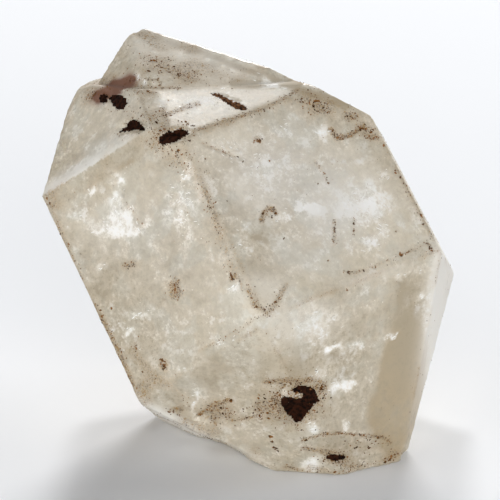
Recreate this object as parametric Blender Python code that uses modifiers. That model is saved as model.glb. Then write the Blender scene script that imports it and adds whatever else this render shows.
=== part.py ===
"""Herkimer diamond: one clouded quartz crystal with a point at each end, on a flat spot at its lower tip.

The crystal is modelled upright around its own axis, from the distances of its faces to its middle, and
then leaned over to the way it stands. X is across, Y is away from the front and Z is up the axis. Sizes
are in millimetres until the finished mesh is scaled to metres. The sheet is a plane held square to the
front view, which sees the axis lean back: places on it are given as (across, up).
"""

import math

import bmesh
import bpy
from mathutils import Matrix, Vector, noise

OBJECT_NAME = "herkimer_diamond"
MM = 0.001

# Quartz: the six end faces slope at this angle between their normals and the axis
END_FACE_ANGLE = math.radians(51.79)
# The prism faces sit every 60 degrees, the first a little short of square to the right
FIRST_FACE = math.radians(-2.3)
# The right face leans in towards the top
RIGHT_TAPER = math.radians(1.7)
SIDES = ("right", "right_back", "left_back", "left", "left_front", "right_front")

# Distance of each prism face from the axis
PRISM = {
    "right": 12.76,
    "right_back": 12.70,
    "left_back": 11.70,
    "left": 11.88,
    "left_front": 12.91,
    "right_front": 12.38,
}
# Height on the axis at which each upper end face meets its prism face
UPPER_EDGE = {
    "right": 3.90,
    "right_back": 5.60,
    "left_back": 7.10,
    "left": 9.20,
    "left_front": 9.20,
    "right_front": 7.30,
}
# The same for the lower end faces
LOWER_EDGE = {
    "right": -7.75,
    "right_back": -6.60,
    "left_back": -6.90,
    "left": -7.98,
    "left_front": -7.72,
    "right_front": -7.28,
}

# How it stands: leaned back, rolled to the left, then leaned back again
LEAN = math.radians(9.0)
ROLL = math.radians(25.54)
PITCH = math.radians(18.0)
# Height of the flat spot below the middle of the prism
REST_DEPTH = 13.65

# Flat cuts that the front view sees on edge: their start and end on the sheet, and how much they face
# away from the front. These leave the ledge that the crest stands on, and the worn corner beside it
LEDGE_CUTS = (
    ((-6.15, 16.56), (-4.73, 16.36), -0.08),
    ((-4.73, 16.36), (2.20, 13.30), -0.12),
    ((-8.95, 14.30), (-6.20, 16.62), 0.0),
)

# The crest: a second crystal, grown parallel, that stands back from the main one behind the ledge
CREST_STEP = 0.85
CREST_BACK_FACE = 8.04
# How far its other end faces lie inside the main ones, and its root inside the prism faces
CREST_SINK = 0.06
CREST_ROOT_INSET = 2.5
# Its worn top right edge, and its blunt top
CREST_CUTS = (
    ((6.60, 11.38), (-0.22, 18.40), 0.10),
    ((-1.43, 18.20), (-0.22, 18.60), 0.05),
)

# Worn edges
EDGE_WEAR = 0.09
SHARP_ANGLE = math.radians(15.0)

# The block that is cut down to the crystal's faces, and the distance at which a cut's corners weld
BLOCK = 80.0
WELD = 1e-5
# A face turned closer than this to the line of sight isn't on the front
GRAZING = 0.05

# Pits in the front: place, then as seen on the sheet: length, width and turn in degrees, then depth,
# raggedness and seed
DARK_PITS = (
    ("ledge pit", -4.15, 15.05, 2.60, 1.45, 3.0, 0.50, 0.45, 3.0),
    ("three cornered pit", -3.97, 12.05, 2.00, 1.25, -18.0, 0.50, 0.60, 7.0),
    ("edge pit", -1.46, 10.00, 2.55, 1.10, -12.0, 0.60, 0.40, 1.5),
    ("clover pit", -1.93, -12.20, 2.55, 2.60, 20.0, 0.55, 0.55, 5.2),
    ("tip pit", -0.94, -16.75, 1.55, 0.52, -25.0, 0.35, 0.35, 9.1),
)
# A straight slit, from its start to its end on the sheet, with its width, depth and raggedness
SLIT = ((2.27, 11.88), (4.46, 9.68), 0.34, 0.45, 0.12)
# Shallow scars: place, length, width, turn, depth and seed
SCARS = (
    ("oval scar on the tip", 0.10, -16.90, 6.60, 2.40, -27.0, 0.28, 2.0),
    ("dent in the top edge", 6.95, 11.15, 2.20, 1.10, -50.0, 0.32, 4.0),
    ("scar by the stained crack", 9.30, 3.35, 3.40, 1.50, -20.0, 0.16, 6.0),
    ("scar at the lower left", -8.10, -10.10, 2.60, 1.60, -45.0, 0.20, 8.0),
    ("chip in the lower right corner", 3.75, -18.75, 2.60, 1.10, -60.0, 0.30, 11.0),
    ("chip in the lower left edge", -8.05, -12.60, 5.00, 1.90, -46.0, 0.42, 10.0),
)
SCAR_ROUGHNESS = 0.10
# A scar is the end of a lump whose middle stands off the face by this share of its half height
SCAR_STANDOFF = 0.6
# Small pits in the front: place and width
SMALL_PITS = (
    (-0.95, 3.45, 0.62),
    (2.35, 7.10, 0.50),
    (-11.90, -1.80, 0.55),
    (-5.95, -15.20, 0.50),
    (0.60, -18.00, 0.45),
    (8.90, -6.80, 0.40),
    (-10.10, -7.60, 0.42),
)
# Their length and depth for each unit of width, their raggedness, and how far each is turned on
SMALL_PIT_LENGTH = 1.3
SMALL_PIT_DEPTH = 0.5
SMALL_PIT_ROUGHNESS = 0.30
SMALL_PIT_TURN = 40.0
SMALL_PIT_FIRST_SEED = 30.0
# Pits on the faces turned away: side, end (1 up, 0 prism, -1 down), aside, up, length, width, depth, seed
BACK_PITS = (
    ("left_back", 0, -3.2, 2.4, 2.2, 1.1, 0.45, 11.0),
    ("left_back", 0, 4.4, -4.6, 1.2, 0.8, 0.35, 12.0),
    ("right_back", 0, 1.5, 4.1, 1.5, 1.0, 0.40, 13.0),
    ("right_back", 0, -4.2, -1.6, 3.0, 1.2, 0.30, 14.0),
    ("right_back", 0, 3.6, -4.4, 0.9, 0.7, 0.30, 15.0),
    ("right", 0, 2.6, 0.4, 1.2, 0.7, 0.35, 16.0),
    ("left", 0, 1.2, 1.6, 1.8, 0.8, 0.35, 17.0),
    ("left", 0, -2.4, -3.2, 0.9, 0.7, 0.30, 18.0),
    ("right_back", 1, 1.8, 1.2, 1.8, 1.0, 0.40, 19.0),
    ("left_back", 1, -2.2, -0.6, 1.4, 0.9, 0.35, 20.0),
    ("left", 1, 0.6, 0.8, 1.1, 0.7, 0.30, 21.0),
    ("right_back", -1, 0.8, 2.2, 1.9, 1.1, 0.40, 22.0),
    ("left", -1, 0.4, 1.4, 1.3, 0.9, 0.35, 23.0),
)
# Their raggedness, and how far a pit is turned for each unit of its seed
BACK_PIT_ROUGHNESS = 0.45
BACK_PIT_TURN = 25.0
# How closely the dents of a ragged lump follow each other, on a lump of radius 1
LUMP_GRAIN = 1.7

# Growth plates on the faces turned away: side, end, aside, up, radius, height, turn
PLATES = (
    ("left_back", 0, 1.2, 3.6, 4.2, 0.16, 30.0),
    ("left_back", 0, -2.6, -4.0, 2.6, 0.13, 90.0),
    ("right_back", 0, 2.4, 0.4, 3.4, 0.15, 30.0),
    ("right_back", 0, -4.0, 4.2, 2.2, 0.12, 90.0),
    ("right_back", 1, -1.6, 0.2, 2.9, 0.15, 90.0),
    ("left_back", 1, 1.8, 1.4, 2.3, 0.13, 30.0),
    ("right_back", -1, -2.4, 0.2, 2.5, 0.14, 30.0),
    ("right", -1, 0.6, 1.0, 1.7, 0.11, 90.0),
    ("left", 1, -1.4, 0.6, 1.9, 0.12, 30.0),
)
# How deep a plate is sunk into its face, how far its rim runs out for each unit of height, and how far
# from its middle its three corners are cut off, for a radius of 1
PLATE_ROOT = 0.4
PLATE_RIM = 1.5
PLATE_CORNER = 0.62

# Clouded quartz: warm grey, smooth, and mostly clear
QUARTZ_COLOUR = (0.62, 0.57, 0.49, 1.0)
QUARTZ_ROUGHNESS = 0.22
QUARTZ_IOR = 1.544
QUARTZ_TRANSMISSION = 0.6


def radial(turn):
    """The horizontal direction at this angle from +X."""
    return Vector((math.cos(turn), math.sin(turn), 0.0))


def outward(side):
    return radial(FIRST_FACE + SIDES.index(side) * math.pi / 3.0)


def prism_normal(side):
    taper = RIGHT_TAPER if side == "right" else 0.0
    return outward(side) * math.cos(taper) + Vector((0.0, 0.0, math.sin(taper)))


def end_normal(side, end):
    """Normal of an end face: end is 1 for the upper point and -1 for the lower one."""
    return outward(side) * math.sin(END_FACE_ANGLE) + Vector((0.0, 0.0, end * math.cos(END_FACE_ANGLE)))


def face(side, end):
    """(normal, distance) of a main face: end is 1 for the upper point, 0 for the prism, -1 for the lower."""
    if end == 0:
        return prism_normal(side), PRISM[side]
    edge_height = UPPER_EDGE[side] if end > 0 else LOWER_EDGE[side]
    distance = PRISM[side] * math.sin(END_FACE_ANGLE) + end * edge_height * math.cos(END_FACE_ANGLE)
    return end_normal(side, end), distance


def sheet_direction(across, up, away=0.0):
    """The direction of this step on the sheet, or of one that also goes away from the front."""
    tipped = Matrix.Rotation(LEAN, 3, "X")
    return (tipped @ Vector((across, away, up))).normalized()


def sheet_plane(start, end, away):
    """(normal, distance) of a cut that the front view sees on edge, through two places on the sheet."""
    along = Vector(end) - Vector(start)
    square = Vector((-along.y, along.x)).normalized()
    if square.dot(Vector(start)) < 0:
        square = -square
    distance = square.dot(Vector(start)) / math.sqrt(1.0 + away * away)
    return sheet_direction(square.x, square.y, away), distance


def front_point(across, up):
    """(point, normal) where a line of sight at this place on the sheet meets the main crystal's front."""
    sight = sheet_direction(0.0, 0.0, 1.0)
    start = sheet_direction(1.0, 0.0) * across + sheet_direction(0.0, 1.0) * up
    nearest = None
    for normal, distance in (face(side, end) for side in SIDES for end in (1, 0, -1)):
        facing = normal.dot(sight)
        if facing < -GRAZING:
            reach = (distance - normal.dot(start)) / facing
            if nearest is None or reach > nearest[0]:
                nearest = (reach, normal)
    return start + sight * nearest[0], nearest[1]


def block():
    """A block of quartz larger than the crystal, to be cut down to its faces."""
    mesh = bmesh.new()
    bmesh.ops.create_cube(mesh, size=BLOCK)
    return mesh


def cut(mesh, normal, distance):
    """Cuts away what lies beyond the plane, and closes the cut with one flat face."""
    everything = mesh.verts[:] + mesh.edges[:] + mesh.faces[:]
    made = bmesh.ops.bisect_plane(
        mesh, geom=everything, dist=WELD, plane_co=normal * distance, plane_no=normal, clear_outer=True
    )
    rim = [item for item in made["geom_cut"] if isinstance(item, bmesh.types.BMEdge)]
    if rim:
        bmesh.ops.contextual_create(mesh, geom=rim)


def main_crystal(stance):
    mesh = block()
    for side in SIDES:
        for end in (0, 1, -1):
            cut(mesh, *face(side, end))
    for row in LEDGE_CUTS:
        cut(mesh, *sheet_plane(*row))
    # the flat spot, which is level once the crystal is leaned over
    cut(mesh, stance.inverted() @ Vector((0.0, 0.0, -1.0)), REST_DEPTH)
    return mesh


def crest():
    """The second crystal. Its right faces run on from the main ones, and its left front face is stepped."""
    mesh = block()
    for side in ("left_front", "right_front", "right", "right_back"):
        normal, distance = face(side, 1)
        cut(mesh, normal, distance - (CREST_STEP if side == "left_front" else CREST_SINK))
    cut(mesh, end_normal("left_back", 1), CREST_BACK_FACE)
    for row in CREST_CUTS:
        cut(mesh, *sheet_plane(*row))
    # its root, inside the main crystal
    for side in SIDES:
        cut(mesh, prism_normal(side), PRISM[side] - CREST_ROOT_INSET)
    cut(mesh, Vector((0.0, 0.0, -1.0)), 0.0)
    return mesh


def lump(depth, rough, seed, fineness):
    """A ragged pebble of radius 1 around the origin, and of this half height."""
    mesh = bmesh.new()
    bmesh.ops.create_icosphere(mesh, subdivisions=fineness, radius=1.0)
    for vertex in mesh.verts:
        vertex.co *= 1.0 + rough * noise.noise(vertex.co * LUMP_GRAIN + Vector((seed, 0.0, 0.0)))
    bmesh.ops.scale(mesh, vec=(1.0, 1.0, depth), verts=mesh.verts)
    return mesh


def along_sight(normal, offset):
    """Moves an offset on the sheet along the line of sight until it lies in the face."""
    sight = sheet_direction(0.0, 0.0, 1.0)
    return offset - sight * (normal.dot(offset) / normal.dot(sight))


def seen_axes(normal, length, width, turn):
    """Two half axes in the face that are seen from the front at this length, width and turn."""
    angle = math.radians(turn)
    first = sheet_direction(math.cos(angle), math.sin(angle)) * (length / 2.0)
    second = sheet_direction(-math.sin(angle), math.cos(angle)) * (width / 2.0)
    return along_sight(normal, first), along_sight(normal, second)


def face_axes(normal, length, width, turn):
    """Two half axes in the face, turned by this many degrees from across it."""
    across = Vector((0.0, 0.0, 1.0)).cross(normal).normalized()
    up = normal.cross(across)
    angle = math.radians(turn)
    first = across * math.cos(angle) + up * math.sin(angle)
    return first * (length / 2.0), normal.cross(first) * (width / 2.0)


def placed(mesh, point, axes, normal):
    """Stretches a mesh of radius 1 to these half axes in the face, at this point."""
    basis = Matrix((axes[0], axes[1], normal)).transposed().to_4x4()
    bmesh.ops.transform(mesh, matrix=Matrix.Translation(point) @ basis, verts=mesh.verts)
    return mesh


def pit(point, normal, axes, depth, rough, seed, standoff=0.0, fineness=2):
    """A closed lump that cuts a pit of this size. One with a standoff is held that far off the face."""
    spread = 1.0 / math.sqrt(1.0 - standoff * standoff)
    reach = depth / (1.0 - standoff)
    mesh = lump(reach, rough, seed, fineness)
    return placed(mesh, point + normal * (standoff * reach), (axes[0] * spread, axes[1] * spread), normal)


def slit(start, end, width, depth, rough):
    """A narrow pit along a straight line on the front."""
    first, normal = front_point(*start)
    last, _ = front_point(*end)
    along = (last - first) / 2.0
    axes = (along, normal.cross(along).normalized() * (width / 2.0))
    return pit((first + last) / 2.0, normal, axes, depth, rough, 0.0)


def face_point(side, end, aside, up):
    """(point, normal) in a face, measured from the foot of its normal, across the face and up it."""
    normal, distance = face(side, end)
    across = Vector((0.0, 0.0, 1.0)).cross(normal).normalized()
    return normal * distance + across * aside + normal.cross(across) * up, normal


def dark_pit(across, up, length, width, turn, depth, rough, seed):
    point, normal = front_point(across, up)
    return pit(point, normal, seen_axes(normal, length, width, turn), depth, rough, seed, fineness=3)


def small_pit(number, across, up, width):
    point, normal = front_point(across, up)
    axes = seen_axes(normal, width * SMALL_PIT_LENGTH, width, SMALL_PIT_TURN * number)
    seed = SMALL_PIT_FIRST_SEED + number
    return pit(point, normal, axes, width * SMALL_PIT_DEPTH, SMALL_PIT_ROUGHNESS, seed, fineness=1)


def back_pit(side, end, aside, up, length, width, depth, seed):
    point, normal = face_point(side, end, aside, up)
    axes = face_axes(normal, length, width, seed * BACK_PIT_TURN)
    return pit(point, normal, axes, depth, BACK_PIT_ROUGHNESS, seed)


def scar(across, up, length, width, turn, depth, seed):
    point, normal = front_point(across, up)
    axes = seen_axes(normal, length, width, turn)
    return pit(point, normal, axes, depth, SCAR_ROUGHNESS, seed, standoff=SCAR_STANDOFF)


def plate(side, end, aside, up, radius, height, turn):
    """A low three cornered growth plate with cut corners, sunk a little into its face."""
    mesh = bmesh.new()
    top = 1.0 - PLATE_RIM * height / radius
    bmesh.ops.create_cone(
        mesh, segments=3, radius1=1.0, radius2=top, depth=height + PLATE_ROOT, cap_ends=True
    )
    bmesh.ops.translate(mesh, vec=(0.0, 0.0, (height - PLATE_ROOT) / 2.0), verts=mesh.verts)
    for corner in range(3):
        cut(mesh, radial((2.0 * corner / 3.0 + 0.5) * math.pi), PLATE_CORNER)
    point, normal = face_point(side, end, aside, up)
    return placed(mesh, point, face_axes(normal, 2.0 * radius, 2.0 * radius, turn), normal)


def joined(meshes):
    """One mesh that holds all of these."""
    whole = bmesh.new()
    for mesh in meshes:
        carrier = bpy.data.meshes.new("carrier")
        mesh.to_mesh(carrier)
        mesh.free()
        whole.from_mesh(carrier)
        bpy.data.meshes.remove(carrier)
    return whole


def quartz():
    material = bpy.data.materials.new("clouded_quartz")
    material.use_nodes = True
    shader = material.node_tree.nodes["Principled BSDF"]
    shader.inputs["Base Color"].default_value = QUARTZ_COLOUR
    shader.inputs["Roughness"].default_value = QUARTZ_ROUGHNESS
    shader.inputs["Metallic"].default_value = 0.0
    shader.inputs["IOR"].default_value = QUARTZ_IOR
    shader.inputs["Transmission Weight"].default_value = QUARTZ_TRANSMISSION
    return material


def add_object(name, mesh, collection, stand, material):
    """An object from this mesh, held by the empty that gives the crystal its stance."""
    bmesh.ops.scale(mesh, vec=(MM, MM, MM), verts=mesh.verts)
    bmesh.ops.recalc_face_normals(mesh, faces=mesh.faces)
    data = bpy.data.meshes.new(name)
    mesh.to_mesh(data)
    mesh.free()
    data.materials.append(material)
    made = bpy.data.objects.new(name, data)
    collection.objects.link(made)
    made.parent = stand
    return made


def wear_edges(made):
    bevel = made.modifiers.new("worn edges", "BEVEL")
    bevel.width = EDGE_WEAR * MM
    bevel.segments = 1
    bevel.limit_method = "ANGLE"
    bevel.angle_limit = SHARP_ANGLE


def boolean(made, operation, other):
    step = made.modifiers.new(other.name, "BOOLEAN")
    step.operation = operation
    step.solver = "EXACT"
    step.object = other


def stand_on_floor(stand, crystal):
    """Moves the empty so that the finished crystal stands on the floor, its box centred on the origin."""
    bpy.context.view_layer.update()
    graph = bpy.context.evaluated_depsgraph_get()
    evaluated = crystal.evaluated_get(graph)
    corners = [evaluated.matrix_world @ vertex.co for vertex in evaluated.data.vertices]
    low = [min(corner[axis] for corner in corners) for axis in range(3)]
    high = [max(corner[axis] for corner in corners) for axis in range(3)]
    stand.location = (-(low[0] + high[0]) / 2.0, -(low[1] + high[1]) / 2.0, -low[2])


def new_collection(name):
    collection = bpy.data.collections.new(name)
    bpy.context.scene.collection.children.link(collection)
    return collection


def main():
    for old in list(bpy.data.objects):
        bpy.data.objects.remove(old)
    parts = new_collection(OBJECT_NAME)
    cutters = new_collection("cutters")
    stance = (
        Matrix.Rotation(-PITCH, 3, "X") @ Matrix.Rotation(-ROLL, 3, "Y") @ Matrix.Rotation(-LEAN, 3, "X")
    )
    stand = bpy.data.objects.new("stance", None)
    stand.rotation_euler = stance.to_euler()
    parts.objects.link(stand)
    material = quartz()

    crystal = add_object("crystal", main_crystal(stance), parts, stand, material)
    wear_edges(crystal)
    pits = [dark_pit(*row[1:]) for row in DARK_PITS]
    pits += [small_pit(number, *row) for number, row in enumerate(SMALL_PITS)]
    pits += [back_pit(*row) for row in BACK_PITS]
    pits.append(slit(*SLIT))
    helpers = {
        "crest": crest(),
        "plates": joined([plate(*row) for row in PLATES]),
        "scars": joined([scar(*row[1:]) for row in SCARS]),
        "pits": joined(pits),
    }
    for name, mesh in helpers.items():
        helper = add_object(name, mesh, cutters, stand, material)
        helper.hide_render = True
        helper.display_type = "WIRE"
        if name == "crest":
            wear_edges(helper)
        boolean(crystal, "UNION" if name in ("crest", "plates") else "DIFFERENCE", helper)
    stand_on_floor(stand, crystal)


main()
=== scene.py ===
"""Herkimer diamond: the look of one clouded quartz crystal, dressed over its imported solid.

Lengths are millimetres until a piece is finished. A place on the front is (across, up) on the sheet: a plane
through the crystal's middle, held square to the front view. It is carried along the line of sight to the
surface, so that what is put there sits on the stone from any side.
"""

import math
import random

import bmesh
import bpy
import numpy as np
from mathutils import Matrix, Vector, noise
from mathutils.bvhtree import BVHTree


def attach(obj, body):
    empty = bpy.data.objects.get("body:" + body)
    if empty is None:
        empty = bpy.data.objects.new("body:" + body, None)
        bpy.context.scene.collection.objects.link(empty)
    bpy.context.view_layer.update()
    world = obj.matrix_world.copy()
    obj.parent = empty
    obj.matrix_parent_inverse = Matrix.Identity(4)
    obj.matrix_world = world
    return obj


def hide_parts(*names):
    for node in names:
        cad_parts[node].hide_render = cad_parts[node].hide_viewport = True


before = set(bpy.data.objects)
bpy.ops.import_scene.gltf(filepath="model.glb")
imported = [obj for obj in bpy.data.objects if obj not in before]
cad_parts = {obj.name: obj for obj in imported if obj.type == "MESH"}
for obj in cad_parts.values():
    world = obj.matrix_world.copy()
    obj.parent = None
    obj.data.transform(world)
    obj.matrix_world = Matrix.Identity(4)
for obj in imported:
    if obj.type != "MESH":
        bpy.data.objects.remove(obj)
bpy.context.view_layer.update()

MM = 0.001

# The front view: the middle of the prism, how far down the camera looks, how far off it is, and the width
# that it sees at the middle
MIDDLE = Vector((-0.04, 0.58, 13.65))
VIEW_DOWN = math.radians(18.0)
VIEW_DISTANCE = 450.0
VIEW_WIDTH = 37.5
SENSOR = 36.0
SIGHT = Vector((0.0, math.cos(VIEW_DOWN), -math.sin(VIEW_DOWN)))
ACROSS = Vector((1.0, 0.0, 0.0))
RISE = Vector((0.0, math.sin(VIEW_DOWN), math.cos(VIEW_DOWN)))
EYE = MIDDLE - SIGHT * VIEW_DISTANCE
# How far from itself the camera begins to see, in metres
CLIP_START = 0.01

# How near, in metres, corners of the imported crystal's loose triangles are joined
WELD = 1e-7
# What counts as flat, as a large face, as the same turn (a cosine) and plane as another, and as an edge
FLATNESS = math.radians(0.3)
LEAST_FACE = 3.0
SAME_TURN = 0.9995
SAME_PLANE = 0.05
LEAST_EDGE = math.radians(12.0)
# A distance beyond all of the stone
FAR_OFF = 1e3
# The skin of fine cells that the stone's relief is worked in
CELL = 0.21
# How far off the surface a line of sight starts, so that it doesn't meet the place that it comes from
CLEAR_OF_SURFACE = 0.15
# A place counts fully as on the front when the cosine between its normal and the view is at least this
FULLY_FRONT = 0.06
# The relief: depths of its lumps, how far from an edge wear reaches, and the depths of wear and chips
LUMP_DEPTH = 0.022
SMALL_LUMP_DEPTH = 0.005
WORN_REACH = 0.28
WORN_DEPTH = 0.05
CHIP_DEPTH = 0.03
# What share of the lumps a calm zone takes away
CALMING = 0.85
# How far from an edge the darkening and the stain reach
EDGE_DARKENING_REACH = 0.55
STAINED_REACH = 0.30
# How a patch fades from its middle: the power that squares off its edge, and how fast it falls
SPOT_EDGE = 1.3
SPOT_FALL = 0.7

# White clouds under the front: place, half length, half height, turn in degrees, strength
CLOUDS = (
    (-10.00, 1.55, 2.30, 0.70, -8.0, 0.75),
    (-9.60, 2.60, 1.30, 0.95, -50.0, 0.75),
    (-10.20, 4.00, 0.35, 0.35, 0.0, 0.9),
    (-9.90, 5.25, 0.22, 0.62, 35.0, 1.0),
    (-11.89, 4.41, 0.30, 0.26, 0.0, 0.9),
    (-13.20, 2.60, 0.60, 0.25, 15.0, 0.6),
    (-5.20, 3.20, 1.40, 2.10, 0.0, 0.62),
    (-4.60, 5.80, 0.50, 0.60, 0.0, 0.7),
    (-1.20, 7.60, 1.40, 0.90, -20.0, 0.45),
    (8.90, 3.40, 1.50, 1.70, -20.0, 0.75),
    (9.00, 3.60, 0.60, 0.60, 0.0, 1.0),
    (9.20, 0.60, 0.80, 0.60, 0.0, 0.9),
    (9.90, 1.40, 0.50, 0.70, 0.0, 0.7),
    (7.20, 3.20, 0.90, 1.10, 0.0, 0.6),
    (10.00, 5.60, 0.40, 0.40, 0.0, 0.7),
    (4.40, 3.20, 1.05, 0.50, -10.0, 0.85),
    (2.80, 2.60, 0.80, 0.50, 0.0, 0.5),
    (0.90, 6.20, 1.60, 1.60, 0.0, 0.5),
    (5.60, 8.80, 0.55, 0.45, 0.0, 0.7),
    (2.70, 9.20, 0.70, 0.80, 0.0, 0.5),
    (-1.20, -2.85, 0.50, 0.45, 0.0, 0.9),
    (-0.60, 0.40, 0.80, 1.20, 0.0, 0.4),
    (-8.17, -4.88, 0.90, 0.25, 10.0, 0.5),
    (-8.90, -6.00, 0.60, 0.30, 25.0, 0.8),
    (-11.30, -1.30, 0.50, 0.40, 0.0, 0.5),
    (-4.95, -8.85, 0.55, 0.12, 18.0, 0.9),
    (-4.15, -11.50, 0.16, 1.30, 5.0, 0.8),
    (-2.00, -6.90, 0.90, 0.50, 20.0, 0.5),
    (6.22, -7.27, 0.80, 0.28, 14.0, 1.0),
    (7.95, -7.20, 0.60, 0.25, 10.0, 0.7),
    (10.57, -6.52, 0.55, 0.20, 12.0, 0.8),
    (6.15, -5.10, 0.60, 0.40, 0.0, 0.6),
    (7.05, -10.20, 1.05, 0.40, 12.0, 0.95),
    (5.40, -9.40, 1.00, 0.90, 30.0, 0.5),
    (4.90, -5.60, 2.20, 1.60, 0.0, 0.40),
    (4.72, -13.42, 0.45, 0.60, 20.0, 0.75),
    (7.20, -13.35, 0.30, 0.45, -20.0, 0.75),
    (4.58, -16.20, 0.80, 0.60, 0.0, 0.8),
    (-0.80, -15.30, 0.40, 0.30, 0.0, 0.5),
    (2.60, -10.90, 0.60, 0.40, 0.0, 0.7),
    (3.66, -10.90, 0.24, 0.14, 0.0, 1.0),
    (12.95, -3.45, 0.26, 0.30, 0.0, 0.8),
    (11.90, -1.80, 1.20, 0.25, 15.0, 0.5),
    (-8.30, 12.95, 0.36, 0.30, 0.0, 1.0),
    (-3.20, 11.20, 2.40, 0.60, 12.0, 0.6),
    (-6.40, 11.00, 1.20, 0.30, 20.0, 0.6),
    (1.60, 12.40, 1.20, 0.40, -15.0, 0.7),
)
# Where the stone has less milk, given in the same way
WINDOWS = (
    (-5.40, -13.60, 3.60, 0.50, -30.0, 0.8),
    (-3.00, 15.20, 6.50, 1.60, -20.0, 0.4),
    (-14.80, 8.00, 1.20, 6.00, 30.0, 0.4),
)
# Where it is all milk: points, half width, strength
VEILED = (
    (((0.60, -3.90), (1.90, -7.50), (3.60, -10.20)), 1.20, 2.0),
    (((3.60, -10.20), (2.20, -11.00), (2.40, -12.40), (3.60, -13.20), (4.80, -12.20), (5.40, -11.20)),
     0.80, 2.0),
)
# Where its surface is smooth, given as the clouds are
CALM_ZONES = (
    (-2.00, 14.40, 8.50, 2.40, -20.0, 1.0),
)
# Painted light: soft brighter patches, given as the clouds are, without their broken edges
PAINTED_LIGHT_PATCHES = (
    (-4.60, 14.60, 5.60, 1.20, -20.0, 0.50),
    (-7.60, 15.20, 1.40, 1.20, 0.0, 0.50),
    (-1.60, 11.70, 5.20, 1.50, 12.0, 0.28),
    (6.20, 1.60, 1.60, 1.30, 0.0, 0.5),
    (-9.60, 2.10, 2.40, 1.60, 0.0, 0.35),
    (9.00, 2.80, 2.40, 2.90, -10.0, 0.30),
    (2.40, 5.60, 3.80, 3.00, 0.0, 0.95),
    (6.00, 3.60, 2.80, 3.20, 0.0, 1.20),
    (4.20, -0.20, 2.40, 1.80, 0.0, 0.60),
    (1.60, -2.60, 2.20, 1.00, 0.0, 0.40),
    (3.60, -5.20, 2.60, 1.60, 0.0, 0.40),
    (3.30, 9.40, 1.00, 1.60, 0.0, 0.30),
    (14.90, -3.00, 1.20, 9.00, -8.0, 1.8),
    (-5.40, -13.20, 3.60, 0.50, -30.0, 1.4),
    (9.20, -1.95, 2.80, 0.40, 15.0, 0.40),
    (-0.60, -15.20, 2.00, 0.30, -22.0, 0.4),
)
# A place on the upper left face, and the painted light, a soft brightness, that is on that face alone
UPPER_LEFT_FACE = (-13.0, 7.2)
PAINTED_LIGHT_ON_FACE = (
    (-13.20, 5.60, 3.60, 0.62, 34.0, 1.5),
    (-10.60, 7.80, 2.60, 0.80, 36.0, 0.8),
    (-9.60, 9.80, 3.00, 2.60, 30.0, 0.35),
)
# Where the quartz is clear, smooth and tan
CLEAR_ZONES = (
    (11.30, -10.20, 1.60, 5.00, -8.0, 1.2),
    (10.20, -12.40, 1.40, 2.20, 0.0, 0.9),
    (11.20, -4.20, 1.60, 2.60, 0.0, 0.35),
    (-7.50, -11.80, 3.20, 1.20, -45.0, 0.4),
)
# Where the stone is darker than its milk: its own smoky tone, and painted shade over the crest and the lower
# half
SMOKE_AND_SHADE_ZONES = (
    (1.20, 1.60, 2.20, 1.30, -60.0, 0.9),
    (-1.20, 4.60, 1.40, 0.80, -60.0, 0.7),
    (8.60, 7.60, 3.40, 1.20, -60.0, 0.8),
    (5.60, 9.30, 2.20, 1.60, -30.0, 0.7),
    (12.60, -2.00, 1.00, 3.20, 0.0, 0.6),
    (-12.00, 3.60, 2.60, 0.70, 28.0, 0.75),
    (-10.60, 4.70, 0.20, 0.80, 35.0, 1.0),
    (11.70, -2.60, 1.30, 0.22, -15.0, 1.0),
    (12.20, -5.50, 2.00, 5.60, -8.0, 1.1),
    (10.60, 6.00, 1.80, 3.80, 28.0, 0.75),
    # The next two rows are painted shade: the crest darker
    (-3.00, 14.60, 6.50, 1.70, -20.0, 0.25),
    (-7.60, 15.00, 1.20, 1.60, 0.0, 0.25),
    # The next four rows are painted shade: the lower half darker than the lights leave it
    (1.60, -11.00, 7.00, 4.20, -20.0, 0.82),
    (-9.80, -5.60, 3.60, 5.60, 25.0, 0.90),
    (-4.60, -7.60, 4.40, 3.20, -20.0, 0.60),
    (5.60, -8.20, 4.60, 4.60, -10.0, 0.95),
    (-13.60, 2.00, 1.20, 4.00, 25.0, 0.7),
    (6.20, -15.40, 4.20, 1.60, 5.0, 0.9),
    (0.00, 0.70, 1.60, 1.50, 0.0, 0.9),
    (0.80, 0.70, 0.80, 0.50, 0.0, 1.5),
    (3.00, -14.40, 3.00, 1.20, -10.0, 0.7),
    (8.20, -11.80, 1.80, 1.20, 0.0, 0.6),
    (-2.60, -5.20, 2.60, 1.20, 30.0, 0.5),
    (-7.00, 6.60, 2.00, 0.60, 20.0, 0.5),
    (-9.60, -7.00, 1.00, 3.60, 25.0, 0.5),
    (6.60, -4.60, 1.40, 0.60, 0.0, 0.5),
    (-3.60, -8.20, 3.00, 1.00, -20.0, 0.35),
    (8.00, -15.20, 3.00, 1.00, 5.0, 0.5),
)
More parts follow.
